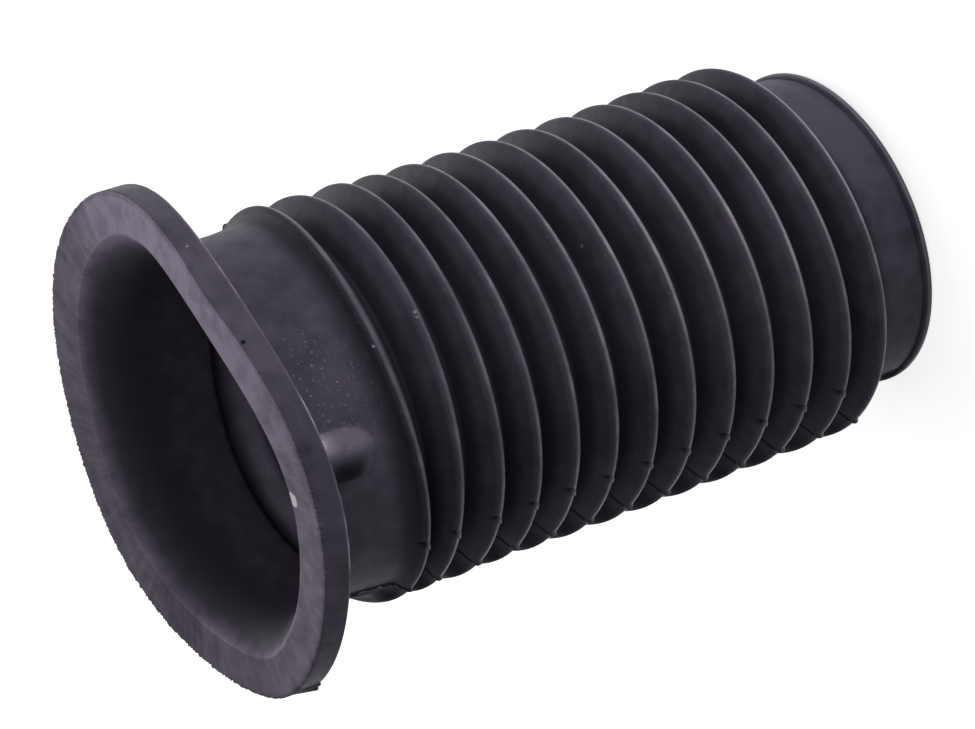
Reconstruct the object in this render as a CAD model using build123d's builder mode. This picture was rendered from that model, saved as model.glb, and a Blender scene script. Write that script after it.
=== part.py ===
from build123d import *

import os
from math import acos, asin, atan2, cos, degrees, hypot, radians, sin, tan

# Rubber bellows boot: a dust cover moulded in one piece.
#
# A flanged, funnel-shaped mouth leads into a short throat, then a row of rounded
# folds, then a plain end collar with a beaded rim. The boot stands on that rim.
# Millimetres, +Z up. The origin is the centre of the end collar's free rim.

# Folds
fold_count = 13
fold_pitch = 8.45
crest_diameter = 75.0
fold_depth = 6.2  # crest to root, on the outside
fold_wall = 1.0
crest_groove_round = 0.2  # inside radius of a crest
root_groove_round = 0.7  # outside radius of a root

# End collar, which carries on from the roots
end_collar_length = 14.6
end_collar_wall = 2.3
end_bore_lead = 1.0  # length over which the bore opens to the folds
rim_bead_height = 0.7
rim_bead_width = 1.8
rim_edge_round = 0.3

# Throat between the folds and the flange
throat_length = 22.0  # last root to the flange's face
throat_step = 2.2  # how far the throat lies below the crests
throat_wall = 2.4
throat_shoulder_round = 2.5  # outside, where the first crest rises
throat_lip_round = 1.2  # inside, where the throat ends at the folds

# Flange and funnel mouth
flange_diameter = 97.0
flange_thickness = 5.0
flange_edge_round = 0.4
mouth_flare = 6.9  # how much wider than the throat's bore the mouth is, on each side
mouth_edge_round = 0.8
mouth_half_angle = 45.0  # of the funnel, from the axis
funnel_round = 8.0  # inside, where the funnel meets the throat
neck_round = 6.0  # outside, where the throat meets the flange's back

# Bump on the throat, behind the flange
bump_azimuth = -108.0
bump_radius = 5.5
bump_height = 3.0  # above the throat
bump_reach = 19.5  # flange's face to the bump's end

# Sizes that follow from those
crest_radius = crest_diameter / 2
root_radius = crest_radius - fold_depth
crest_round = crest_groove_round + fold_wall
root_ridge_round = root_groove_round + fold_wall
end_bore_radius = root_radius - end_collar_wall
throat_radius = crest_radius - throat_step
throat_bore_radius = throat_radius - throat_wall
flange_radius = flange_diameter / 2
throat_middle_radius = throat_radius - throat_wall / 2
mouth_radius = throat_bore_radius + mouth_flare
folds_top = end_collar_length + fold_count * fold_pitch
boot_length = folds_top + throat_length
flange_back = boot_length - flange_thickness
funnel_slope = tan(radians(mouth_half_angle))
funnel_foot = boot_length - mouth_flare / funnel_slope
bump_axis_radius = throat_radius + bump_height - bump_radius
bump_end = boot_length - bump_reach + bump_radius

# A flank is the straight line that touches the crest's arc and the root's arc
arc_rise = crest_radius - crest_round - root_radius - root_groove_round
arc_gap = hypot(fold_pitch / 2, arc_rise)
flank_angle = degrees(atan2(arc_rise, fold_pitch / 2) + asin((crest_round + root_groove_round) / arc_gap))
flank_length = (arc_gap**2 - (crest_round + root_groove_round) ** 2) ** 0.5


def bend(path, radius, angle):
    """Carry an outline on with an arc: a positive angle turns towards the axis."""
    return JernArc(start=path @ 1, tangent=path % 1, radius=radius, arc_size=angle)


def run(path, length):
    """Carry an outline straight on."""
    return Line(path @ 1, path @ 1 + path % 1 * length)


def draw_folds(path, crest_arc, root_arc):
    """Draw the folds upwards from the end of path, and stop on top of the last crest."""
    for fold in range(fold_count):
        path = bend(path, root_arc, -flank_angle if fold == 0 else -2 * flank_angle)
        path = run(path, flank_length)
        path = bend(path, crest_arc, flank_angle if fold == fold_count - 1 else 2 * flank_angle)
        if fold < fold_count - 1:
            path = run(path, flank_length)
    return path


def step_to_throat(path, crest_arc, throat_arc, drop):
    """Step down from the last crest to the throat, at the flanks' angle or as steep as the arcs allow."""
    tangent_limit = degrees(acos(max(-1, 1 - drop / (crest_arc + throat_arc))))
    slope = min(flank_angle, tangent_limit)
    path = bend(path, crest_arc, slope)
    if slope < tangent_limit:
        arcs_drop = (crest_arc + throat_arc) * (1 - cos(radians(slope)))
        path = run(path, (drop - arcs_drop) / sin(radians(slope)))
    return bend(path, throat_arc, -slope)


with BuildPart() as bump:
    with BuildSketch(Plane.XY.offset(bump_end)):
        with Locations((bump_axis_radius, 0)):
            Circle(bump_radius)
    extrude(amount=flange_back + flange_thickness / 2 - bump_end)
    with Locations((bump_axis_radius, 0, bump_end)):
        Sphere(bump_radius)
    # Its inner side ends inside the wall of the throat and of the funnel
    with BuildSketch(Plane.XZ):
        Polygon(
            (0, bump_end - bump_radius),
            (throat_middle_radius, bump_end - bump_radius),
            (throat_middle_radius, funnel_foot),
            (throat_middle_radius + mouth_flare, boot_length),
            (0, boot_length),
            align=None,
        )
    revolve(axis=Axis.Z, mode=Mode.SUBTRACT)

with BuildPart() as bellows_boot:
    with BuildSketch(Plane.XZ):
        with BuildLine():
            # Up the outside of the end collar, over the folds and down to the throat
            collar = FilletPolyline(
                (end_bore_radius, 0),
                (root_radius + rim_bead_height, 0),
                (root_radius + rim_bead_height, rim_bead_width - rim_bead_height),
                (root_radius, rim_bead_width),
                (root_radius, end_collar_length),
                radius=[rim_edge_round, rim_bead_height / 2, rim_bead_height],
            )
            crests = draw_folds(collar, crest_round, root_groove_round)
            throat = step_to_throat(crests, crest_round, throat_shoulder_round, throat_step)
            # Up the inside, one wall further in
            bore = Polyline(
                (end_bore_radius, 0),
                (end_bore_radius, end_collar_length - 2 * end_bore_lead),
                (root_radius - fold_wall, end_collar_length - end_bore_lead),
                (root_radius - fold_wall, end_collar_length),
            )
            grooves = draw_folds(bore, crest_groove_round, root_ridge_round)
            lip = step_to_throat(
                grooves,
                crest_groove_round,
                throat_lip_round,
                throat_step + throat_wall - fold_wall,
            )
            # Round the flange and the funnel, back to the inside
            FilletPolyline(
                throat @ 1,
                (throat_radius, flange_back),
                (flange_radius, flange_back),
                (flange_radius, boot_length),
                (mouth_radius, boot_length),
                (throat_bore_radius, funnel_foot),
                lip @ 1,
                radius=[
                    neck_round,
                    flange_edge_round,
                    flange_edge_round,
                    mouth_edge_round,
                    funnel_round,
                ],
            )
        make_face()
    revolve(axis=Axis.Z)
    add(bump.part.rotate(Axis.Z, bump_azimuth))

bellows_boot.part.label = "bellows_boot"
os.makedirs("parts", exist_ok=True)
export_step(bellows_boot.part, "parts/bellows_boot.step")
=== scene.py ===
# %% [markdown]
# # A rubber bellows boot
# This lesson dresses a moulded rubber boot: a flanged mouth, a short throat, a row of
# thirteen rounded folds and a plain end collar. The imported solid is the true, straight
# form. The real boot is soft: it stands a little bowed, its folds have sprung unevenly
# and its trimmed flange is warped. A Screw modifier on a drawn curve would turn such a
# form, but with every ring round and level. So the surface that is seen is worked out
# here with numpy, ring by ring, and takes the solid's place.

import math

import bpy
import numpy as np
from mathutils import Matrix, Vector


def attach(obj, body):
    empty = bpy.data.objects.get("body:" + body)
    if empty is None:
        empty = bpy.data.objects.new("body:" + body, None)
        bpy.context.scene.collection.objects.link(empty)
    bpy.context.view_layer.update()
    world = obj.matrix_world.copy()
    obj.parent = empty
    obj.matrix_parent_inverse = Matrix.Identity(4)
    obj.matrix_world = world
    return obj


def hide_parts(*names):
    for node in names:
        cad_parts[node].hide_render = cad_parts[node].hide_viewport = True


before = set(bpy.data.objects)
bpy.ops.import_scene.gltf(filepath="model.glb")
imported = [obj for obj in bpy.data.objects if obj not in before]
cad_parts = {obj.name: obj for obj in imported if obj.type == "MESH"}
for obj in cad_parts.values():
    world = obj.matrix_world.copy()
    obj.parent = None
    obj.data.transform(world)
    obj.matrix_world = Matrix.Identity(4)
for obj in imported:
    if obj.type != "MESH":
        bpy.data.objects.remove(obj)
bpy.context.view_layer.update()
MM = 0.001

# %% [markdown]
# ## Sizes
# These are the driving sizes of the mould, as the solid has them, in millimetres.
# Everything below is drawn in millimetres from the centre of the end collar's rim and
# turned into metres when the mesh is made, so that the numbers stay easy to read.

# %% Driving sizes
fold_count = 13
fold_pitch = 8.45
crest_radius = 37.5
root_radius = 31.3
fold_wall = 1.0
crest_round = 1.2
root_round = 0.7
end_collar_length = 14.6
end_bore_radius = 29.0
end_bore_drop = 2.0  # how far below the folds the bore has narrowed
rim_bead_height = 0.7
rim_bead_width = 1.8
rim_edge_round = 0.3
throat_radius = 35.3
throat_bore_radius = 32.9
throat_length = 22.0
throat_shoulder_round = 2.5
throat_lip_round = 1.2
flange_radius = 48.5
flange_thickness = 5.0
flange_edge_round = 0.4
mouth_radius = 39.8
mouth_edge_round = 0.8
mouth_half_angle = 45.0
funnel_round = 15.0
neck_round = 6.0

# %% Heights that follow from those
folds_top = end_collar_length + fold_count * fold_pitch
last_crest = folds_top - fold_pitch / 2
boot_length = folds_top + throat_length
flange_back = boot_length - flange_thickness
funnel_foot = boot_length - (mouth_radius - throat_bore_radius)
print("boot", boot_length, "mm long, folds end at", folds_top)

# %% [markdown]
# ## Drawing the section
# A lathe-turned mould makes sections of straight runs and arcs. A Bezier curve could draw
# them, but arcs worked out by angle are true, and each has as many points as it needs.
# Two helpers give runs and arcs as arrays of (radius, height) points; joined up they are
# the boot's section, first up the outside and then down the inside.


# %% Arcs and runs
def arc(centre, radius, start, end, count):
    """Points on a circle about centre, from the start angle to the end angle in degrees."""
    angle = np.radians(np.linspace(start, end, count))
    return np.column_stack([centre[0] + radius * np.cos(angle), centre[1] + radius * np.sin(angle)])


def run(start, end, count, ends=False):
    """Points evenly spaced between start and end, without the two ends unless asked for."""
    share = np.linspace(0, 1, count + 2)[:, None]
    points = np.array(start) * (1 - share) + np.array(end) * share
    return points if ends else points[1:-1]


# %% The angle of the folds' flanks
arc_rise = crest_radius - crest_round - root_radius - root_round
arc_gap = math.hypot(fold_pitch / 2, arc_rise)
flank_angle = math.degrees(
    math.atan2(arc_rise, fold_pitch / 2) + math.asin((crest_round + root_round) / arc_gap)
)
print("flanks lean", round(flank_angle, 1), "degrees from the axis")

# %% [markdown]
# ## One fold, repeated
# A fold is a crest arc, two straight flanks and half a root arc at each end. The inner
# side is the same with the wall taken off the crest's radius and added to the root's, so
# the wall keeps its thickness. An Array modifier could repeat it, but then no fold could
# differ from the next; here whole pitches are added to one fold's points.


# %% Folds
def folds(crest_r, root_r, crest_arc, root_arc, crest_points, root_points, flank_points):
    """Folds from the bottom root to the top root: arcs joined by their common tangents, once a pitch."""
    root = (root_r + root_arc, 0.0)
    crest = (crest_r - crest_arc, fold_pitch / 2)
    lower_root = arc(root, root_arc, 180, 180 - flank_angle, root_points)
    crest_top = arc(crest, crest_arc, -flank_angle, flank_angle, crest_points)
    lower_flank = run(lower_root[-1], crest_top[0], flank_points)
    half = np.vstack([lower_root, lower_flank, crest_top[: crest_points // 2 + 1]])
    mirrored = half[::-1] * [1, -1] + [0, fold_pitch]
    fold = np.vstack([half, mirrored[1:-1]])
    heights = end_collar_length + fold_pitch * np.arange(fold_count)
    stack = fold[None] + np.column_stack([np.zeros(fold_count), heights])[:, None]
    return stack.reshape(-1, 2)


inner_crest, inner_crest_round = crest_radius - fold_wall, crest_round - fold_wall
inner_root, inner_root_round = root_radius - fold_wall, root_round + fold_wall
outer_folds = folds(crest_radius, root_radius, crest_round, root_round, 13, 3, 2)
inner_folds = folds(inner_crest, inner_root, inner_crest_round, inner_root_round, 3, 3, 0)
print(len(outer_folds) // fold_count, "rings a fold outside,", len(inner_folds) // fold_count, "inside")

# %% [markdown]
# ## The section, from the rim up and back down
# The last crest doesn't fall back to a root: it steps down to the throat over a shoulder.
# So the last half fold is swapped for that step. The rim of the flange is kept apart,
# because its trimmed edge needs far more points round it than the rest of the boot.


# %% Step from the last crest to the throat
def shoulder(crest_r, crest_arc, throat_r, throat_arc, points):
    """From the last crest's top down to the throat: two arcs joined by a straight where they need one."""
    drop = crest_r - throat_r
    arcs = crest_arc + throat_arc
    turn = min(flank_angle, math.degrees(math.acos(max(-1, 1 - drop / arcs))))
    slope = math.radians(turn)
    straight = max(0, drop - arcs * (1 - math.cos(slope))) / math.tan(slope)
    down = arc((crest_r - crest_arc, last_crest), crest_arc, 0, turn, points)
    level = (throat_r + throat_arc, last_crest + arcs * math.sin(slope) + straight)
    return np.vstack([down[1:], arc(level, throat_arc, 180 + turn, 180, points)])


def below_last_crest(rings):
    """The folds up to the top of the last crest."""
    return rings[rings[:, 1] <= last_crest + 1e-6]


# %% End collar's side: the rim, its bead, a shallow groove above the bead and the plain collar
bead_radius = root_radius + rim_bead_height
bead_round = rim_bead_height / 2
bead_shoulder = 0.95  # height at which the bead starts to round in
bead_groove = [[0.12, -0.42], [-0.1, -0.15], [-0.14, 0.2], [-0.04, 0.7]]  # from the collar, at the bead's top
collar_side = np.vstack(
    [
        run((end_bore_radius, 0.0), (bead_radius - rim_edge_round, 0.0), 2, ends=True),
        arc((bead_radius - rim_edge_round, rim_edge_round), rim_edge_round, -60, 0, 3),
        arc((bead_radius - bead_round, bead_shoulder), bead_round, 0, 70, 4),
        np.array(bead_groove) + [root_radius, rim_bead_width],
        run((root_radius, rim_bead_width + 1.0), (root_radius, end_collar_length), 8),
    ]
)

# %% Outside, from the end collar to the flange's back
outer_step = shoulder(crest_radius, crest_round, throat_radius, throat_shoulder_round, 6)
throat_side = run((throat_radius, outer_step[-1, 1]), (throat_radius, flange_back - neck_round), 18)
neck = arc((throat_radius + neck_round, flange_back - neck_round), neck_round, 180, 90, 8)
back_face = run(neck[-1], (flange_radius - 0.5, flange_back), 3)
outside = np.vstack(
    [collar_side, below_last_crest(outer_folds), outer_step, throat_side, neck, back_face]
)

# %% Rim of the flange, with rings close together where the teeth are cut
rim_heights = np.r_[flange_back + 0.8, boot_length - np.array([1.3, 0.9, 0.12])]
face_rim = np.array([[flange_radius - 0.1, boot_length], [flange_radius - 0.7, boot_length]])
face_start = flange_radius - 1.1  # where the face's own, coarser rings begin
back_edge = (flange_radius - flange_edge_round, flange_back + flange_edge_round)
rim = np.vstack(
    [
        arc(back_edge, flange_edge_round, -90, 0, 6),
        np.column_stack([np.full(len(rim_heights), flange_radius), rim_heights]),
        face_rim,
    ]
)

# %% Inside, from the flange's face to the end collar's rim
inner_step = shoulder(inner_crest, inner_crest_round, throat_bore_radius, throat_lip_round, 4)
corner_share = math.tan(math.radians(mouth_half_angle / 2))
edge_reach = mouth_edge_round * corner_share
funnel_reach = funnel_round * corner_share
edge_centre = (mouth_radius + edge_reach, boot_length - mouth_edge_round)
funnel_centre = (throat_bore_radius + funnel_round, funnel_foot - funnel_reach)
narrowed = (end_bore_radius, end_collar_length - end_bore_drop)
inside = np.vstack(
    [
        run((face_start, boot_length), (mouth_radius + edge_reach, boot_length), 4, ends=True),
        arc(edge_centre, mouth_edge_round, 90, 90 + mouth_half_angle, 5)[1:],
        arc(funnel_centre, funnel_round, 90 + mouth_half_angle, 180, 10),
        run((throat_bore_radius, funnel_foot - funnel_reach), inner_step[-1], 6),
        inner_step[::-1],
        below_last_crest(inner_folds)[::-1],
        run((inner_root, end_collar_length), narrowed, 1),
        run(narrowed, (end_bore_radius, 0.0), 3),
    ]
)
print("rings: outside", len(outside), "rim", len(rim), "inside", len(inside))

# %% [markdown]
# ## Turns round the axis
# Even turns would be simplest, but small things are drawn by a few degrees of the boot: the
# mould's parting line, a row of moulding nibs and the bump on the throat. So the turns are
# closer together there, and the rim has each step cut in ten for its teeth.

# %% Azimuths in degrees, counted from +X
parting_azimuth = -164.5
nib_azimuth = -142.0
bump_azimuth = -107.0
azimuths = np.unique(
    np.round(
        np.r_[
            np.linspace(-180, 180, 120, endpoint=False),
            parting_azimuth + np.linspace(-1.4, 1.4, 11),
            parting_azimuth + 180 + np.linspace(-1.2, 1.2, 7),
            nib_azimuth + np.linspace(-2.6, 2.6, 15),
            bump_azimuth + np.linspace(-11, 11, 20),
        ],
        4,
    )
)
inside_azimuths = azimuths[::2]
assert len(azimuths) == 2 * len(inside_azimuths)


# %% Finer turns for the rim
def split_turns(turns, parts):
    """Each step between turns cut into equal parts, all the way round."""
    step = np.diff(np.r_[turns, turns[0] + 360])
    return (turns[:, None] + step[:, None] * np.arange(parts) / parts).ravel()


rim_parts = 10
rim_azimuths = split_turns(azimuths, rim_parts)
print(len(azimuths), "turns outside,", len(rim_azimuths), "on the rim and", len(inside_azimuths), "inside")


# %% Curves that the formulas below share
def smooth_step(x):
    """Nought below 0, one above 1, and an even curve between."""
    x = np.clip(x, 0, 1)
    return x * x * (3 - 2 * x)


def turned(azimuth, about):
    """Angle from about, in degrees, between -180 and 180."""
    return (azimuth - about + 180) % 360 - 180


def swells(azimuth, places):
    """A sum of bell curves round the axis, each given as (azimuth, half width in degrees, height)."""
    return sum(height * np.exp(-((turned(azimuth, about) / width) ** 2)) for about, width, height in places)


def along_crest(z):
    """Height above the nearest crest, in millimetres."""
    return (z - end_collar_length) % fold_pitch - fold_pitch / 2


# %% [markdown]
# ## How the soft boot has settled
# Rubber doesn't keep to its drawing. Lattices or Simple Deform modifiers could bend it, but
# each would need its own handling. Instead a few small movements carry the straight section
# to the boot as it is: folds sprung along the axis, folds a little wide or narrow, the
# whole boot bowed sideways, every level leaning and waved a little, and the flange tilted
# and waved. How far each goes is this one boot's own set, measured by a fit and rounded.

# %% Each fold's own spring and width, from the end collar up
fold_shift = [-1.4, -1.0, -0.5, 0.05, 0.4, 1.05, 1.05, 1.25, 1.1, 0.7, 0.2, 0.25, -0.15]
fold_swell = [0.2, 0.35, 0.2, 0.12, 0.05, 0.1, 0.1, 0.07, 0.0, 0.05, 0.35, 0.5, 0.7]
crest_heights = end_collar_length + fold_pitch * (np.arange(fold_count) + 0.5)
swell_end = folds_top + 4  # the throat keeps to its drawing from here up


def sprung(rings):
    """Rings moved along and away from the axis by their nearest folds' own shift and swell."""
    r, z = rings.T
    shift = np.interp(z, np.r_[0, crest_heights, boot_length], np.r_[0, fold_shift, 0])
    swell = np.interp(z, np.r_[0, crest_heights, swell_end], np.r_[0, fold_swell, 0])
    return np.column_stack([r + swell, z + shift])


# %% The bow of the axis
def bow(z):
    """Sideways place of the axis at height z: a cubic in x and a quartic in y of the share of the length."""
    u = np.clip(z / boot_length, 0, 1)
    x = -1.9 - 3.3 * u + 11.0 * u**2 - 4.1 * u**3
    y = 1.6 - 15.0 * u + 28.8 * u**2 - 36.7 * u**3 + 20.9 * u**4
    return x, y


# %% How far each level leans and waves: millimetres at the crests' radius
wave_levels = [0, 19, 28, 36, 45, 62, 78, 95, 103, 112, 120, 140]
lean_x = [1.6, 0.6, 0.3, -0.35, -0.8, -0.8, -1.05, -1.05, -1.5, -0.7, 0.0, 0.0]
lean_y = [-0.2, 0.0, 0.05, 0.15, 0.1, 0.0, -0.1, -0.2, -0.25, -0.15, -0.4, 0.0]
wave_x = [0.0, 0.15, 0.15, 0.3, 0.3, 0.1, 0.1, -0.15, -0.35, -0.1, -1.25, 0.0]
wave_y = [0.0, -0.5, -0.5, -0.5, -0.65, -0.7, -0.75, -0.6, -0.75, 0.15, -0.9, 0.0]


def waved(z, r, azimuth):
    """Rise of a ring's points: a lean, once round, and a wave, twice round, each in two directions."""
    turn = np.radians(azimuth)
    leans = ((lean_x, np.cos(turn)), (lean_y, np.sin(turn)))
    waves = ((wave_x, np.cos(2 * turn)), (wave_y, np.sin(2 * turn)))
    return r / crest_radius * sum(np.interp(z, wave_levels, size) * part for size, part in leans + waves)


# %% The flange's tilt and waves: times round, size, and azimuth of the peak
flange_waves = [(1, 2.05, -62.0), (2, 0.95, -73.0), (3, 0.62, -48.0), (4, 0.6, 27.0)]
grip_drop = 4.0  # how far down the folds the flange's waves are felt


def flange_lift(azimuth):
    """Height of the flange above its flat place: one tilt and three waves round it."""
    return sum(size * np.cos(n * np.radians(azimuth - peak)) for n, size, peak in flange_waves)


# %% All the movements together
stray_middle = 1.5  # degrees that the parting line has strayed round the boot at stray_height
stray_fall = 3.3  # degrees less of it at the end collar's rim
stray_height = 60.0
stray_width = 14  # degrees to each side that stray with it


def settle(rings, azimuth):
    """Carry rings of (radius, height) round the axis and let them settle; gives (ring, turn, xyz)."""
    rings = sprung(rings)
    r, z = rings[:, :1], rings[:, 1:]
    stray = stray_middle - stray_fall * ((z - stray_height) / stray_height) ** 2
    turn = np.radians(azimuth[None] + stray * swells(azimuth, [(parting_azimuth, stray_width, 1)])[None])
    x, y = bow(z)
    grip = smooth_step((z - folds_top + grip_drop) / (flange_back - folds_top + grip_drop))
    rise = grip * flange_lift(azimuth)[None] + waved(z, r, azimuth[None])
    return np.stack([x + r * np.cos(turn), y + r * np.sin(turn), z + rise], axis=-1)


# %% [markdown]
# ## The saw-toothed edge
# The flange was trimmed by a toothed blade. Its front edge is a row of small teeth, less
# than a millimetre apart, deeper in some stretches than in others. The back edge keeps a
# thin skin of flash that stands proud here and there. A bump map would shade such teeth,
# but they show against the floor too, so they are cut into the mesh.

# %% Sizes of the teeth and the flash
tooth_pitch = 0.85
tooth_depth = 0.38
tooth_slope = 0.9  # how far a cut of one millimetre also lowers the edge
tooth_point = 0.7  # power of the notches' sides: below one they are pointed
teeth = round(2 * math.pi * flange_radius / tooth_pitch)
bite_down, down_fade = 0.9, 0.75  # how far down the rim the blade bites, and over what length that fades
bite_in, in_fade = 0.7, 0.6  # the same across the face
ragged_size = 0.05
flash_height = 0.18
flash_level, flash_spread = 0.1, 0.2  # above the flange's back
lean_in = 0.75  # how far in from the rim the trim's lean is felt in full
# Where the blade cut wide or close, as bell curves round the axis, at the front and the back edge
trim_front = [(-61, 9, -1.2), (-92, 13, 0.9)]
trim_back = [(-103, 18, 0.6), (-168, 1.3, 0.9), (-165, 0.5, 0.5)]


# %% Uneven curves round the axis
def wander(azimuth, seed, waves):
    """A smooth random curve round the axis, about -1 to 1: a sum of whole waves with seeded phases."""
    draw = np.random.default_rng(seed)
    phase = draw.uniform(0, 2 * np.pi, len(waves))
    size = draw.uniform(0.6, 1.0, len(waves))
    turn = np.radians(azimuth)
    total = sum(s * np.cos(n * turn + p) for n, s, p in zip(waves, size, phase))
    return total / size.sum() * 1.8


def flash_strength(azimuth):
    """How strong the flash is round the flange's back edge, 0.1 to 1: four long, uneven stretches of it."""
    stretches = swells(azimuth, [(-40, 26, 1.0), (-93, 8, 0.9), (-121, 13, 0.9), (60, 40, 0.6)])
    return np.clip(0.1 + stretches * (0.8 + 0.3 * wander(azimuth, 9, [23, 41, 67])), 0.1, 1)


def tooth_cut(azimuth):
    """Depth of the blade's cut round the rim: notches a pitch apart, uneven in depth and a little ragged."""
    phase = azimuth * teeth / 360 + 0.5 * wander(azimuth, 3, [31, 47, 73])
    notch = 1 - np.abs(2 * (phase % 1.0) - 1.0) ** tooth_point
    deep = np.clip(0.75 + 0.4 * wander(azimuth, 5, [5, 9, 14, 23, 40]), 0.35, 1.2)
    deep *= 1 - 0.6 * swells(azimuth, [(-85, 60, 1)])
    ragged = ragged_size * wander(azimuth, 7, [61, 83, 113, 149])
    return tooth_depth * (deep * notch)[None] + ragged


# %% Trimmed edge
def trimmed(rings, points, azimuth):
    """Pull the rim in along its front edge by a row of teeth, and raise the flash along its back edge."""
    r, z = rings[:, :1], rings[:, 1:]
    near_top = np.clip((z - boot_length + bite_down) / down_fade, 0, 1)
    near_rim = np.clip((r - flange_radius + bite_in) / in_fade, 0, 1)
    cut = near_top * near_rim * tooth_cut(azimuth)
    flash = np.exp(-(((z - flange_back - flash_level) / flash_spread) ** 2)) * (r > flange_radius - 0.2)
    proud = flash * flash_height * flash_strength(azimuth)
    height = (z - flange_back) / flange_thickness
    lean = height * swells(azimuth, trim_front) + (1 - height) * swells(azimuth, trim_back)
    turn = np.radians(azimuth)
    moved = proud - cut + lean * (r > flange_radius - lean_in)
    return points + np.stack([moved * np.cos(turn), moved * np.sin(turn), -tooth_slope * cut], axis=-1)


# %% The mouth has pulled out of round
mouth_shift = np.array([-0.16, -1.0, 0.0])
mouth_oval = 0.7
pull_start = flange_radius - 0.8
pull_foot = folds_top + 2.0
lean_stop = mouth_radius + 1


def pulled_mouth(rings, points, azimuth):
    """Shift and oval the mouth's edge, less and less across the face and down the funnel.

    The face's outer rings also lean with the rim's front edge, less and less towards the mouth."""
    r, z = rings[:, :1], rings[:, 1:]
    across_face = np.clip((pull_start - r) / (pull_start - mouth_radius), 0, 1)
    up_funnel = np.clip((z - pull_foot) / (boot_length - pull_foot), 0, 1)
    pull = (across_face * up_funnel**2)[..., None] * (r > throat_bore_radius - 0.01)[..., None]
    turn = np.radians(azimuth)
    outwards = np.stack([np.cos(turn), np.sin(turn), 0 * turn], -1)
    oval = mouth_oval * np.cos(2 * turn)[:, None] * outwards
    near_rim = np.clip((r - lean_stop) / (face_start - lean_stop), 0, 1) * (z > boot_length - 0.01)
    lean = (near_rim * swells(azimuth, trim_front)[None])[..., None] * outwards[None]
    return points + pull * (mouth_shift + oval)[None] + lean


# %% [markdown]
# ## Marks the mould leaves
# The mould's two halves meet in a plane, and rubber creeps into that joint: a fine ridge
# up each side, with a knob on every crest. A row of nibs marks where the rubber was let
# in, each in a small pit on its crest. The bump behind the flange is a swelling with a
# steep lower end. All are heights added to the smooth outside, so that they throw shadows
# and show against the floor, which a normal map could not do.

# %% Bump, as a round bar that ends in half a ball
bump_radius = 5.5
bump_sunk = 2.5  # how far the bar's axis lies below the throat's surface
bump_end = boot_length - 15.2


def bump_rise(z, azimuth):
    """Height of the bump above the throat: the bar's or the ball's surface where it is proud."""
    across = np.radians(turned(azimuth, bump_azimuth))[None] * throat_radius
    along = np.clip(bump_end - z, 0, None)
    bar = np.sqrt(np.clip(bump_radius**2 - across**2 - along**2, 0, None)) - bump_sunk
    return np.clip(bar, 0, None) * (z > folds_top) * (z < flange_back + 0.1)


# %% Parting line
parting_width = 0.42  # degrees
flank_groove = 0.36
crest_knob = 0.55
collar_flash = 0.75


def rough_edge(z):
    """An uneven number between 0 and 1 along the height: three sines."""
    return 0.5 + 0.17 * (np.sin(2.1 * z) + np.sin(3.7 * z + 1) + np.sin(5.9 * z + 2))


def parting(rings, azimuth):
    """Height at the parting line: a groove on the flanks, a knob on each crest, flash on the collars."""
    r, z = rings[:, :1], rings[:, 1:]
    both_sides = (parting_azimuth, parting_azimuth + 180)
    line = swells(azimuth, [(side, parting_width, 1) for side in both_sides])
    folded = (z > end_collar_length) & (z < folds_top - 2)
    crest = np.clip((r - crest_radius + 1.0) / 0.8, 0, 1)
    on_folds = -flank_groove * (1 - crest) + crest_knob * crest
    on_collars = collar_flash * rough_edge(z) * (z > rim_bead_width + 0.6) * (z < flange_back - 2)
    return line[None] * np.where(folded, on_folds, on_collars)


# %% Nibs, and the whole relief
pit_depth = 0.65
pit_size = 0.4  # square of its half width
pit_up = 0.5  # from the crest, towards the flange
tab_height = 0.5
tab_size = 0.3
tab_down = 0.4
tab_aside = 0.9


def nibs(rings, azimuth):
    """Masks of the pits and of the tabs up the crests: a bell curve each, the tab beside its pit."""
    r, z = rings[:, :1], rings[:, 1:]
    side = np.radians(turned(azimuth, nib_azimuth))[None] * crest_radius
    in_row = (r > crest_radius - 1.5) & (z < folds_top) & (z > end_collar_length + fold_pitch)
    pit = np.exp(-(side**2 + (along_crest(z) - pit_up) ** 2) / pit_size) * in_row
    tab = np.exp(-((side + tab_aside) ** 2 + (along_crest(z) + tab_down) ** 2) / tab_size) * in_row
    return pit, tab


def relief(rings, azimuth):
    """Height above the smooth outside: parting line, nibs and bump together."""
    pit, tab = nibs(rings, azimuth)
    dents = parting(rings, azimuth) - pit_depth * pit + tab_height * tab
    return dents + bump_rise(rings[:, 1:], azimuth)


# %% [markdown]
# ## Bloom, polish, dust, marks and painted light, kept on the surface
# Wax comes to the surface of rubber and greys what is open to air and rubbing. The grey
# also carries painted light: shade painted into the roots of the folds, beside the folds,
# down the funnel, on the crests' upper halves and on the face's far side, and highlights
# painted on the mouth's edge and on the crests' lower shoulders. These could be painted by
# hand, but the ring and the turn of a point already say where it is on the boot. So
# formulas of those give five numbers at each point. Bloom (with its painted light), face
# (on the flange's flat face), dust and polish (on the crests' lower shoulders, where
# highlights are painted too) run from nought to about one. Marks are above nought where
# rubber is torn pale or a highlight is painted, and below it where a speck is dark or shade
# is painted into a pit, a groove, a crease, the underside or the bump's one side.


# %% Bloom outside, with painted shade in the roots, beside the folds and on the crests' upper halves
# The roots' low grey is painted shade.
shaded_root_grey = 0.08
crest_bloom = 0.8
upper_painted_shade = 0.35  # painted shade on the half of each crest that faces the flange
shaded_collar = 0.2  # painted shade beside the folds
open_collar = 0.6  # more than that, where a collar lies open


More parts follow.
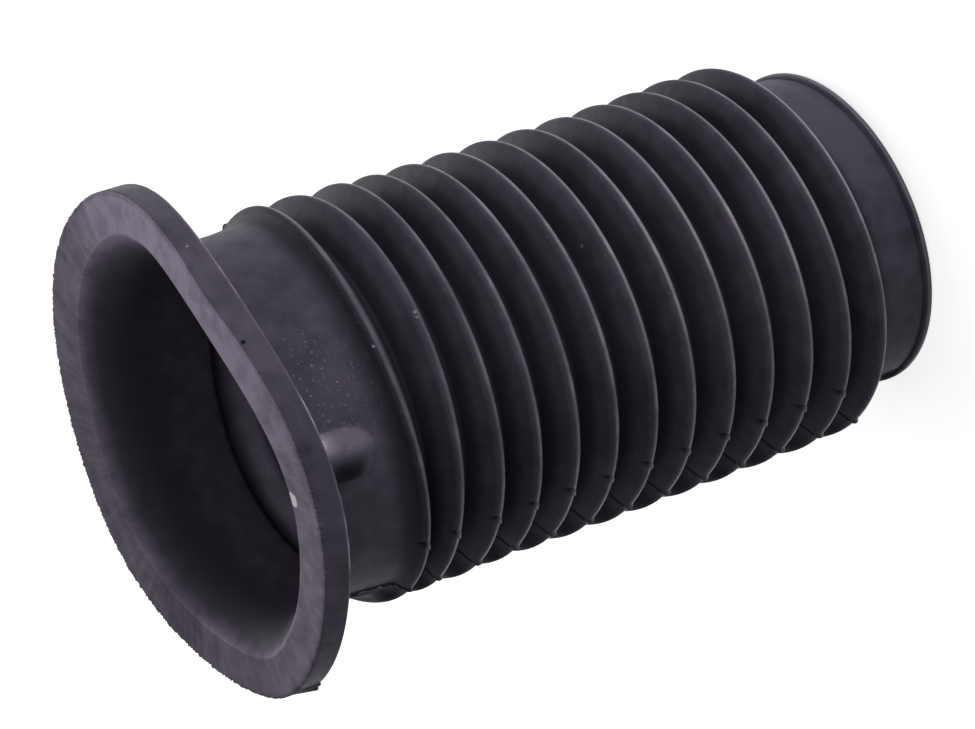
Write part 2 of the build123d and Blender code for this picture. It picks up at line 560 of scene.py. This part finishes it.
def bloom_and_shade_outside(rings):
    """Bloom on the outside: much on crests and collars; little in the roots and under the flange and less on
    each crest's flange-facing half, as painted shade.
    """
    r, z = rings[:, :1], rings[:, 1:]
    up_fold = (r - root_radius) / (crest_radius - root_radius)
    folded = (z > end_collar_length - 1.0) & (z < folds_top - 4)
    open_side = smooth_step((z - folds_top + 2.0) / 4.0) + smooth_step((end_collar_length - z - 0.5) / 3.0)
    shaded_upper_half = smooth_step(along_crest(z) / 0.9 + 0.5) * smooth_step((up_fold - 0.7) / 0.2)
    on_folds = shaded_root_grey + crest_bloom * np.clip(up_fold, 0, 1) ** 1.4 - upper_painted_shade * shaded_upper_half
    return np.where(folded, on_folds, shaded_collar + open_collar * open_side)


# %% Bloom inside, by the depth from the mouth, with painted highlight at the edge and painted shade down the funnel
bare_bloom = 0.02
# The grey's fall down the funnel is painted shade; the edge's grey and the pale band are painted highlight,
# the dark band painted shade.
mouth_grey, mouth_reach = 0.8, 2.5
edge_highlight_grey = 0.5
bore_bloom, bore_from, bore_over = 0.65, 7, 9
side_highlight_share, side_highlight_place = 0.5, [(-10, 45, 1)]
side_shade_share, side_shade_place = 0.6, [(-172, 32, 1)]


def bloom_and_light_inside(rings, azimuth):
    """Bloom and painted light on the inside: full at the mouth's edge, gone from the funnel as painted shade,
    a little again in the bore.

    It falls off as exp of the depth. The edge has a painted highlight, a pale band of painted highlight lies
    on one side of it, and a dark band of painted shade across from it."""
    depth = boot_length - rings[:, 1:]
    inwards = np.clip(depth, 0, None)
    mouth = mouth_grey * np.exp(-inwards / mouth_reach)
    edge_highlight = edge_highlight_grey * np.exp(-(inwards**2)) * (inwards > 0.01)
    bore = bore_bloom * smooth_step((inwards - bore_from) / bore_over)
    side_highlight = side_highlight_share * np.exp(-(((depth - 1.0) / 1.6) ** 2)) * swells(azimuth, side_highlight_place)
    side_shade = side_shade_share * smooth_step((depth - 1.0) / 2.0) * swells(azimuth, side_shade_place)
    return (bare_bloom + mouth + edge_highlight + bore + side_highlight) * (1 - side_shade)


# %% The flange's flat face, with painted shade on its far side
face_fade = 1.3  # down the funnel
face_loss, far_painted_shade = 0.12, 0.84  # share of the bloom that the face lacks everywhere, and, as painted shade, on the far side
far_place, far_most = [(110, 90, 1)], 0.6  # a bell curve with its top cut off


def on_face(rings):
    """One on the flange's flat face, fading over the first two millimetres of the funnel."""
    r, depth = rings[:, :1], boot_length - rings[:, 1:]
    return np.where(r > mouth_radius + 0.5, depth < 0.01, np.exp(-((depth / face_fade) ** 2)))


def face_keeps(rings, azimuth):
    """Share of the bloom that the face keeps: nine tenths of it, and under half on the far side, where shade
    is painted.
    """
    shaded_far_side = np.minimum(swells(azimuth, far_place), far_most)
    return 1 - on_face(rings) * (face_loss + far_painted_shade * shaded_far_side)


# %% Polished shoulders, where highlights are painted too
least_polish_and_highlight, most_polish_and_highlight = 0.38, 0.62  # everywhere, and more than that on the side where highlights are painted
crest_highlight_place = [(-70, 42, 1)]
crest_highlight_top, crest_highlight_fade = 125, 50  # on that side the highlight is painted below this height
bead_polish = 0.25


def polish_and_painted_highlight(rings, azimuth):
    """How far each crest's lower shoulder is polished, with highlight painted on it: most on one side, and
    towards the end collar.
    """
    r, z = rings[:, :1], rings[:, 1:]
    shoulder_side = smooth_step((r - crest_radius + 1.0) / 0.7) * smooth_step(0.6 - along_crest(z) / 0.5)
    folded = (z > end_collar_length) & (z < folds_top)
    highlit_side = swells(azimuth, crest_highlight_place)[None] * smooth_step((crest_highlight_top - z) / crest_highlight_fade)
    polish_and_highlight = least_polish_and_highlight + most_polish_and_highlight * highlit_side
    bead = smooth_step((r - root_radius - 0.2) / 0.4) * (z < rim_bead_width)
    return shoulder_side * folded * polish_and_highlight + bead_polish * bead


# %% Dust
dust_height, dust_spread = 131, 6
dust_place = [(-85, 16, 1.0)]
crest_dust = 0.1


def dust_outside(rings, azimuth):
    """How much dust has settled: thick beside the flange's back, a little on every crest."""
    r, z = rings[:, :1], rings[:, 1:]
    by_flange = np.exp(-(((z - dust_height) / dust_spread) ** 2)) * swells(azimuth, dust_place)[None]
    return np.clip(by_flange + crest_dust * (r > crest_radius - 1.0), 0, 1)


# %% Painted highlight and painted shade on the bump
bump_highlight_side, bump_highlight_top = 0.34, 1.4  # painted highlight along the one side, and more towards the flange
# painted shade on the bump's other side
bump_shade_mark = 0.8


def bump_light_and_shade(z, azimuth):
    """Painted highlight on the bump's one side and painted shade on its other side, by the angle from its
    middle.
    """
    on_bump = np.clip(bump_rise(z, azimuth) / 0.6, 0, 1)
    side = turned(azimuth, bump_azimuth + 1.0)[None]
    by_flange = smooth_step(side / 4) * smooth_step((z - 133) / 5)
    bump_highlight = bump_highlight_side * smooth_step((side + 2) / 4) + bump_highlight_top * by_flange
    bump_shade = bump_shade_mark * smooth_step(-side / 4) * smooth_step((z - 129) / 3)
    return on_bump * (bump_highlight - bump_shade)


# %% Marks and painted light outside
tab_mark = 0.8
# painted shade in the parting groove
groove_shade, groove_width = 0.7, 0.5
# painted highlight on the bead
bead_highlight, bead_level, bead_spread = 0.4, 0.7, 0.55
crease_shade_mark, crease_spread = 0.7, 0.4  # painted shade where the bead meets the collar
underside = [(-175, 8, 1)]
collar_shade, fold_shade = 0.95, 0.6  # painted shade on the underside
low_place = [(-82, 34, 1)]
low_top, low_fade = 90, 30
crest_highlight_mark, crest_highlight_start = 2.0, 0.6  # painted highlight where crests on the low side are polished more than this


def marks_and_light_outside(rings, azimuth):
    """Marks on the outside: nibs with painted shade in their pits, painted shade in the parting groove, the
    crease and on the boot's underside, painted light on the bump, and painted highlight on the bead and the
    crests.
    """
    r, z = rings[:, :1], rings[:, 1:]
    pit, tab = nibs(rings, azimuth)
    groove = swells(azimuth, [(parting_azimuth, groove_width, 1)])[None] * (r < crest_radius - 0.6)
    bead = bead_highlight * np.exp(-(((z - bead_level) / bead_spread) ** 2))
    crease_shade = crease_shade_mark * np.exp(-(((z - rim_bead_width) / crease_spread) ** 2))
    on_collars = (z > folds_top) | (z < end_collar_length)
    underside_shade = swells(azimuth, underside)[None] * np.where(on_collars, collar_shade, fold_shade)
    low_half = smooth_step((low_top - z) / low_fade) * swells(azimuth, low_place)[None]
    crest_highlight = np.clip(polish_and_painted_highlight(rings, azimuth) - crest_highlight_start, 0, 1) * low_half
    # painted shade in the pits and the groove, painted light on the bump
    moulded = tab_mark * tab - pit - groove_shade * groove + bump_light_and_shade(z, azimuth)
    return moulded + (bead - crease_shade) - underside_shade + crest_highlight_mark * crest_highlight


# %% Painted highlight on the rim's flash
skin_highlight, skin_level, skin_spread = 1.6, 0.14, 0.17


def rim_skin_highlight(rings, azimuth):
    """Painted highlight on the thin skin of flash along the rim's back edge: a narrow bell curve of the
    height.
    """
    r, z = rings[:, :1], rings[:, 1:]
    lit_skin = np.exp(-(((z - flange_back - skin_level) / skin_spread) ** 2)) * (r > flange_radius - 0.3)
    return skin_highlight * lit_skin * flash_strength(azimuth)[None]


# %% [markdown]
# ## Building the mesh
# Rings with the same number of turns are joined by quads. Where the coarse rings meet
# the finely cut rim, each coarse step is joined to its fine ones by a fan. The last ring
# is joined to the first, so the boot is one closed skin. bmesh could add the faces one by
# one, but whole arrays handed over at once are far quicker.


# %% Faces between rings
def band(first, second, count):
    """Quads between two rings of equal count, whose vertices start at first and second."""
    here = np.arange(count)
    there = (here + 1) % count
    return np.column_stack([first + here, first + there, second + there, second + here])


def bands(start, rings, count):
    """Quads between all neighbours of a stack of rings, whose vertices start at start."""
    return [band(start + k * count, start + (k + 1) * count, count) for k in range(rings - 1)]


def fan_out(coarse, fine, count, parts):
    """Triangles from a coarse ring to a ring cut into parts: half from each end of a step, one between."""
    here = np.arange(count)[:, None]
    ahead = (here + 1) % count
    middle = parts // 2
    steps = fine + (here * parts + np.arange(parts + 1)) % (count * parts)
    near_from, near_to = steps[:, :middle], steps[:, 1 : middle + 1]
    far_from, far_to = steps[:, middle:parts], steps[:, middle + 1 :]
    near = np.stack([np.broadcast_to(coarse + here, near_to.shape), near_to, near_from], -1)
    far = np.stack([np.broadcast_to(coarse + ahead, far_to.shape), far_to, far_from], -1)
    between = np.column_stack([coarse + here, coarse + ahead, steps[:, middle]])
    return np.vstack([near.reshape(-1, 3), far.reshape(-1, 3), between])


# %% All rings as one array of points
turns, rim_turns, inside_turns = len(azimuths), len(rim_azimuths), len(inside_azimuths)
rim_start = len(outside) * turns
inside_start = rim_start + len(rim) * rim_turns
outwards = np.stack([np.cos(np.radians(azimuths)), np.sin(np.radians(azimuths)), 0 * azimuths], -1)
outside_raised = settle(outside, azimuths) + relief(outside, azimuths)[..., None] * outwards[None]
rim_raised = trimmed(rim, settle(rim, rim_azimuths), rim_azimuths)
inside_raised = pulled_mouth(inside, settle(inside, inside_azimuths), inside_azimuths)
points = np.vstack([raised.reshape(-1, 3) for raised in (outside_raised, rim_raised, inside_raised)])
print(len(points), "points")


# %% The five numbers on every point
rim_grey = 0.8
crest_highlight_grey, crest_highlight_from = 0.5, 0.5  # painted highlight: paler where a crest is polished more than this


def on_all(on_outside, on_rim, on_inside):
    """One number a point, from a number or a grid for each of the three stacks of rings."""
    grids = ((len(outside), turns), (len(rim), rim_turns), (len(inside), inside_turns))
    stacks = zip((on_outside, on_rim, on_inside), grids)
    return np.concatenate([np.broadcast_to(values, grid).ravel() for values, grid in stacks])


polish_and_highlight = polish_and_painted_highlight(outside, azimuths)
outside_bloom_and_light = bloom_and_shade_outside(outside) + crest_highlight_grey * np.clip(polish_and_highlight - crest_highlight_from, 0, 1)
rim_bloom_and_shade = rim_grey * face_keeps(rim, rim_azimuths)
inside_bloom_and_light = bloom_and_light_inside(inside, inside_azimuths) * face_keeps(inside, inside_azimuths)
layers = {
    # Bloom and marks carry painted shade and painted highlights as well as bloom and marks.
    "bloom_and_painted_light": on_all(outside_bloom_and_light, rim_bloom_and_shade, inside_bloom_and_light),
    "marks_and_painted_light": on_all(marks_and_light_outside(outside, azimuths), rim_skin_highlight(rim, rim_azimuths), 0),
    "face": on_all(0, on_face(rim), on_face(inside)),
    "dust": on_all(dust_outside(outside, azimuths), 0, 0),
    # polish: the coat's share, and where glints and highlights are painted
    "polish": on_all(polish_and_highlight, 0, 0),
}
print({layer: [round(float(v), 2) for v in (values.min(), values.max())] for layer, values in layers.items()})

# %% All faces
quads = bands(0, len(outside), turns)
quads += bands(rim_start, len(rim), rim_turns)
quads += bands(inside_start, len(inside), inside_turns)
quads = np.vstack(quads)
last_outside = rim_start - turns
last_rim = inside_start - rim_turns
last_inside = len(points) - inside_turns
triangles = np.vstack(
    [
        fan_out(last_outside, rim_start, turns, rim_parts),
        fan_out(inside_start, last_rim, inside_turns, 2 * rim_parts)[:, ::-1],
        fan_out(last_inside, 0, inside_turns, 2),
    ]
)
print(2 * len(quads) + len(triangles), "triangles")


# %% Into Blender
def make_mesh(name, points, quads, triangles):
    """A smooth mesh object from millimetre points, rows of four and rows of three."""
    corners = np.concatenate([quads.ravel(), triangles.ravel()]).astype(np.int32)
    sizes = np.concatenate([np.full(len(quads), 4), np.full(len(triangles), 3)]).astype(np.int32)
    starts = np.concatenate([[0], np.cumsum(sizes)[:-1]]).astype(np.int32)
    mesh = bpy.data.meshes.new(name)
    mesh.vertices.add(len(points))
    mesh.vertices.foreach_set("co", (points * MM).astype(np.float32).ravel())
    mesh.loops.add(len(corners))
    mesh.loops.foreach_set("vertex_index", corners)
    mesh.polygons.add(len(sizes))
    mesh.polygons.foreach_set("loop_start", starts)
    mesh.polygons.foreach_set("loop_total", sizes)
    mesh.polygons.foreach_set("use_smooth", np.ones(len(sizes), bool))
    mesh.update(calc_edges=True)
    mesh.validate()
    piece = bpy.data.objects.new(name, mesh)
    bpy.context.scene.collection.objects.link(piece)
    return piece


def keep_on_points(piece, name, values):
    """Keep one number at each point of the mesh, for the material to read."""
    layer = piece.data.attributes.new(name, "FLOAT", "POINT")
    layer.data.foreach_set("value", values.astype(np.float32))


boot = make_mesh("boot", points, quads, triangles)
for layer, values in layers.items():
    keep_on_points(boot, layer, values)
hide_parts("bellows_boot")
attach(boot, "root")
print("boot", [round(v * 1000, 1) for v in boot.dimensions])

# %% [markdown]
# ## Rubber
# Black rubber is never quite black. A waxy bloom greys it, with a cool violet cast. The
# flange's flat face is paler, partly bloom and partly a painted reflection, and the grey
# elsewhere carries painted shade and painted highlights. It is satin: a broad, weak gloss,
# with a sharper shine only where a crest is rubbed. Painted maps could carry all this, but
# they blur when seen close. Here the numbers kept on the points say where an effect is, and
# noise on the boot's own coordinates breaks it up: clouds and mottling in the bloom, flecks
# in the dust, painted glints on the polish and streaks round the face. Chips and specks are
# placed one by one with a small node group, the spot.


# %% Short ways to add nodes
class Nodes:
    """Adds nodes to one node tree; each call gives back the new node's output."""

    def __init__(self, tree):
        self.tree = tree

    def feed(self, node, socket, value):
        """Link another node's output to an input, or set the input to a number or colour."""
        if isinstance(value, bpy.types.NodeSocket):
            self.tree.links.new(value, node.inputs[socket])
        else:
            node.inputs[socket].default_value = value

    def add(self, kind, inputs, output=0, **settings):
        """A node of a kind, with its settings made and its inputs fed."""
        node = self.tree.nodes.new("ShaderNode" + kind)
        for setting, value in settings.items():
            setattr(node, setting, value)
        for socket, value in inputs.items():
            self.feed(node, socket, value)
        return node.outputs[output]

    def math(self, operation, first, second):
        """Two values put together: added, multiplied and so on."""
        return self.add("Math", {0: first, 1: second}, operation=operation)

    def ranged(self, value, low, high, to_low, to_high):
        """A value's range from low to high carried over to to_low to to_high, and held at the ends."""
        limits = {"From Min": low, "From Max": high, "To Min": to_low, "To Max": to_high}
        return self.add("MapRange", {"Value": value, **limits}, "Result")

    def noise(self, place, scale, detail, output="Fac"):
        """Noise over a place: scale in patches to a metre, detail in finer and finer layers."""
        return self.add("TexNoise", {"Vector": place, "Scale": scale, "Detail": detail}, output)

    def mixed(self, factor, first, second):
        """The first colour where the factor is nought, the second where it is one."""
        return self.add("Mix", {"Factor": factor, "A": first, "B": second}, "Result", data_type="RGBA")


# %% A spot: the mask that every chip, speck and pit shares
def spot_group(core_share):
    """A ball-shaped mask: its strength in the core, a share of the radius, fading to nought at the radius."""
    tree = bpy.data.node_groups.new("spot", "ShaderNodeTree")
    sockets = {"Position": "Vector", "Centre": "Vector", "Radius": "Float", "Strength": "Float"}
    for socket, kind in sockets.items():
        tree.interface.new_socket(name=socket, in_out="INPUT", socket_type="NodeSocket" + kind)
    tree.interface.new_socket(name="Mask", in_out="OUTPUT", socket_type="NodeSocketFloat")
    given = tree.nodes.new("NodeGroupInput").outputs
    group = Nodes(tree)
    away = group.add("VectorMath", {0: given["Position"], 1: given["Centre"]}, "Value", operation="DISTANCE")
    core = group.math("MULTIPLY", given["Radius"], core_share)
    limits = {"From Min": given["Radius"], "From Max": core, "To Min": 0.0, "To Max": given["Strength"]}
    mask = group.add("MapRange", {"Value": away, **limits}, "Result", interpolation_type="SMOOTHSTEP")
    tree.links.new(mask, tree.nodes.new("NodeGroupOutput").inputs["Mask"])
    return tree


spot = spot_group(0.4)

# %% Where the spots are: x, y, z, radius in millimetres, and strength
# A strength below nought makes a pit, and one above 1.1 a white chip.
spots = [
    (-12.9, -38.2, 147.0, 1.8, 3.5),
    (-11.5, -38.6, 146.8, 0.5, 0.8),
    (15.4, -46.9, 149.4, 0.7, -1.2),
    (34.4, -36.2, 148.2, 0.4, 0.9),
    (35.5, 0.5, 138.5, 0.5, 0.9),
    (30.2, 24.8, 144.0, 0.45, 0.9),
    (16.0, 40.8, 145.4, 0.4, 0.8),
    (-12.3, -36.6, 136.2, 0.45, 1.0),
    (-13.8, -35.5, 134.7, 0.35, 0.9),
    (0.3, -30.0, 3.4, 0.4, 0.9),
    (-19.6, -25.2, 8.4, 0.35, 0.7),
    (-24.3, -21.1, 5.0, 0.35, 0.7),
    (-26.0, -19.3, 6.4, 0.55, -1.3),
    (7.1, -39.2, 122.8, 0.45, 0.9),
    (10.3, -38.8, 112.6, 0.5, 1.0),
    (9.2, -39.1, 112.7, 0.4, 0.8),
    (2.7, -40.2, 111.9, 0.4, 0.8),
    (11.0, -33.5, 73.4, 0.5, 0.5),
]
soft_spots = [
    # a painted reflection: a soft pale patch on the throat's underside next to the folds
    (-32.5, -14.8, 123.4, 5.0, 0.6),
    (15.3, -25.3, 8.8, 11.0, 0.35),
    (2.0, -37.0, 130.0, 9.0, 0.1),
    (36.0, 8.0, 122.0, 7.0, 0.2),
]
print(len(spots), "spots and", len(soft_spots), "soft patches of bloom")

# %% The rubber's material, where it is read and what was kept on the points
rubber = bpy.data.materials.new("moulded_rubber")
rubber.use_nodes = True
boot.data.materials.append(rubber)
shader = rubber.node_tree.nodes["Principled BSDF"]
skin = Nodes(rubber.node_tree)
place = skin.add("TexCoord", {}, "Object")
kept = {layer: skin.add("Attribute", {}, "Fac", attribute_name=layer) for layer in layers}


def spotted(spots, position):
    """The masks of several spots, added up."""
    total = 0.0
    for x, y, z, radius, strength in spots:
        given = {"Centre": (x * MM, y * MM, z * MM), "Radius": radius * MM, "Strength": strength}
        mask = skin.add("Group", {"Position": position, **given}, "Mask", node_tree=spot)
        total = skin.math("ADD", mask, total)
    return total


# %% Noise: patches to a metre, finer layers, and the range of noise that becomes a range of the effect
effects = {
    "clouds": (45.0, 6.0, 0.3, 0.7, 0.66, 1.28),
    "mottle": (260.0, 6.0, 0.35, 0.65, -0.22, 0.22),
    "streaks": (28.0, 5.0, 0.3, 0.7, -0.08, 0.08),
    "flecks": (1600.0, 1.0, 0.66, 0.72, 0.0, 0.9),
    # painted glints: pale flecks of highlight on the polished shoulders
    "painted_glints": (110.0, 3.0, 0.52, 0.66, 0.0, 0.6),
    "satin": (900.0, 2.0, 0.3, 0.7, 0.44, 0.54),
    "polish": (300.0, 3.0, 0.3, 0.7, 0.6, 1.0),
}


def effect(name, where):
    """One effect: its noise over a place, carried over to its own range."""
    scale, detail, *spans = effects[name]
    return skin.ranged(skin.noise(where, scale, detail), *spans)


# %% Marks and painted light: those kept on the points, chips and specks with ragged edges, dust's flecks and painted glints
push = skin.noise(place, 1500.0, 2.0, "Color")
push_by = (0.8 * MM, 0.8 * MM, 0.8 * MM)
ragged_place = skin.add("VectorMath", {0: push, 1: push_by, 2: place}, operation="MULTIPLY_ADD")
flecks = skin.math("MULTIPLY", kept["dust"], effect("flecks", place))
painted_glints = skin.math("MULTIPLY", kept["polish"], effect("painted_glints", place))
marks_and_painted_light = kept["marks_and_painted_light"]
for more in (spotted(spots, ragged_place), flecks, painted_glints):
    marks_and_painted_light = skin.math("ADD", marks_and_painted_light, more)

# %% Bloom and painted light: that kept on the points, in clouds, with mottling, streaks round the face and soft patches, one a painted reflection
along_x, along_y = (skin.add("SeparateXYZ", {"Vector": place}, side) for side in "XY")
round_axis = skin.add("CombineXYZ", {"X": skin.math("ARCTAN2", along_y, along_x)})
bloom_and_painted_light = skin.math("MULTIPLY", kept["bloom_and_painted_light"], effect("clouds", place))
mottling = skin.math("MULTIPLY", kept["bloom_and_painted_light"], effect("mottle", place))
streaks = skin.math("MULTIPLY", kept["face"], effect("streaks", round_axis))
for more in (mottling, streaks, spotted(soft_spots, place)):
    bloom_and_painted_light = skin.math("ADD", bloom_and_painted_light, more)

# %% Colour: black to bloom, paler on the face as part bloom and part painted reflection, then each kind of mark and painted light
bare_black = (0.023, 0.0205, 0.0285, 1)
# the bloom's grey, which the painted light uses too
bloom_and_light_grey = (0.12, 0.107, 0.147, 1)
# the face's paler grey: part bloom, part painted reflection
face_grey_and_reflection = (0.39, 0.335, 0.445, 1)
# A mark of the first strength starts to change the colour, one of the second does by the whole share
mark_colours = [
    (0.0, 1.0, 0.9, (0.4, 0.36, 0.42, 1)),  # torn pale and pale specks, and painted highlights and glints
    (0.0, -1.0, 0.85, (0.004, 0.004, 0.005, 1)),  # dark specks, and painted shade in pits, grooves, the crease, the underside and on the bump's one side
    (1.1, 1.6, 1.0, (0.95, 0.9, 0.92, 1)),  # chipped white
]
colour = skin.mixed(bloom_and_painted_light, bare_black, skin.mixed(kept["face"], bloom_and_light_grey, face_grey_and_reflection))
for start, full, share, mark_colour in mark_colours:
    colour = skin.mixed(skin.ranged(marks_and_painted_light, start, full, 0.0, share), colour, mark_colour)
skin.feed(shader, "Base Color", colour)

# %% Gloss: satin, duller on the face and where marks are dark, and a coat where it is polished
dull_face = skin.ranged(kept["face"], 0.0, 1.0, 0.0, 0.3)
dull_marks = skin.ranged(marks_and_painted_light, -0.1, -0.8, 0.0, 0.45)
roughness = skin.math("ADD", effect("satin", place), skin.math("ADD", dull_face, dull_marks))
skin.feed(shader, "Roughness", roughness)
skin.feed(shader, "Coat Weight", skin.math("MULTIPLY", kept["polish"], effect("polish", place)))
shader.inputs["Coat Roughness"].default_value = 0.2
shader.inputs["Specular IOR Level"].default_value = 0.05
shader.inputs["Specular Tint"].default_value = (0.95, 0.85, 1.0, 1)

# %% Grain: a fine bump all over
grain = {"Strength": 0.12, "Distance": 0.05 * MM, "Height": skin.noise(place, 1400.0, 2.0)}
skin.feed(shader, "Normal", skin.add("Bump", grain, "Normal"))
print("moulded_rubber", len(rubber.node_tree.nodes), "nodes")

# %% [markdown]
# ## Camera
# A long lens, far off, keeps the boot's two ends near to their true sizes. It looks into
# the mouth from a little above, rolled so that the boot lies across the picture. A Track
# To constraint could aim it, but not roll it, so its axes are worked out one by one.

# %% Camera
view_target = Vector((-3.55, 0.0, 81.83)) * MM
view_distance = 809.95 * MM
view_azimuth = math.radians(-89.72)
view_elevation = math.radians(27.73)
view_roll = math.radians(110.65)
focal_pixels = 4333.0
picture_width = 975

flat = math.cos(view_elevation)
sight = Vector((flat * math.cos(view_azimuth), flat * math.sin(view_azimuth), math.sin(view_elevation)))
level = Vector((0, 0, 1)).cross(sight).normalized()
upright = sight.cross(level)
camera_up = upright * math.cos(view_roll) + level * math.sin(view_roll)
camera_right = camera_up.cross(sight)
camera_data = bpy.data.cameras.new("camera")
camera_data.lens = focal_pixels / picture_width * camera_data.sensor_width
camera_data.clip_end = 20.0
camera = bpy.data.objects.new("camera", camera_data)
bpy.context.scene.collection.objects.link(camera)
turned_axes = Matrix((camera_right, camera_up, sight)).transposed().to_4x4()
camera.matrix_world = Matrix.Translation(view_target + sight * view_distance) @ turned_axes
bpy.context.scene.camera = camera
print("camera at", [round(v, 4) for v in camera.location], "lens", round(camera_data.lens, 1))

# %% [markdown]
# ## Light
# A studio's large softboxes could be glowing planes, but area lamps give the same soft
# light with less noise. Each is placed by how far it stands to the camera's right, up and
# towards the lens. The top one is the strongest and draws the light along the folds.

# %% Lamps: right, up and near, and power in watts
lamp_distance = 1.2
lamp_size = 0.9
lamps = {
    "top_box": ((0.25, 0.8, 0.5), 16),
    "back_box": ((-0.8, 0.1, -0.6), 5),
    "left_box": ((-0.85, 0.03, 0.45), 3.5),
    "fill_box": ((-0.25, -0.15, 0.95), 2),
}


def softbox(name, right, up, near, power):
    """A square area lamp on the line (right, up, near) from the boot, facing it."""
    line = (camera_right * right + camera_up * up + sight * near).normalized()
    data = bpy.data.lights.new(name, "AREA")
    data.shape = "SQUARE"
    data.size = lamp_size
    data.energy = power
    lamp = bpy.data.objects.new(name, data)
    lamp.location = view_target + line * lamp_distance
    lamp.rotation_euler = line.to_track_quat("Z", "Y").to_euler()
    bpy.context.scene.collection.objects.link(lamp)


for name, (line, power) in lamps.items():
    softbox(name, *line, power)
print(len(lamps), "lamps")

# %% [markdown]
# ## Floor and world
# The floor is white to the lens and to gloss, and keeps the boot's soft shadow. A strong
# world light would whiten it too, but would wash the boot out. So the world and the floor
# glow only for the rays that come from the lens or from a glossy surface.


# %% Rays that may see white
def lens_or_gloss(nodes):
    """One for rays from the lens or from gloss, nought for the light that falls on the boot."""
    rays = nodes.tree.nodes.new("ShaderNodeLightPath").outputs
    return nodes.math("MAXIMUM", rays["Is Camera Ray"], rays["Is Glossy Ray"])


# %% World
world_light = 0.04
world = bpy.data.worlds.new("world")
bpy.context.scene.world = world
world.use_nodes = True
background = world.node_tree.nodes["Background"]
background.inputs["Color"].default_value = (1, 1, 1, 1)
sky = Nodes(world.node_tree)
sky.feed(background, "Strength", sky.ranged(lens_or_gloss(sky), 0.0, 1.0, world_light, 1.0))

# %% Floor
floor_gap = 0.05
floor_half = 4000.0
floor_shine = 0.8
floor_level = float(points[:, 2].min()) - floor_gap
corners = np.array([[-1, -1], [1, -1], [1, 1], [-1, 1]]) * floor_half
floor_points = np.column_stack([corners, np.full(4, floor_level)])
floor = make_mesh("floor", floor_points, np.array([[0, 1, 2, 3]]), np.zeros((0, 3), int))
paper = bpy.data.materials.new("white_floor")
paper.use_nodes = True
floor.data.materials.append(paper)
paper_shader = paper.node_tree.nodes["Principled BSDF"]
paper_shader.inputs["Base Color"].default_value = (0.8, 0.8, 0.8, 1)
paper_shader.inputs["Roughness"].default_value = 0.9
paper_shader.inputs["Emission Color"].default_value = (1, 1, 1, 1)
glow = Nodes(paper.node_tree)
glow.feed(paper_shader, "Emission Strength", glow.math("MULTIPLY", lens_or_gloss(glow), floor_shine))
print("floor at", round(floor_level, 2), "mm")

# %% Colour management
bpy.context.scene.view_settings.view_transform = "Standard"
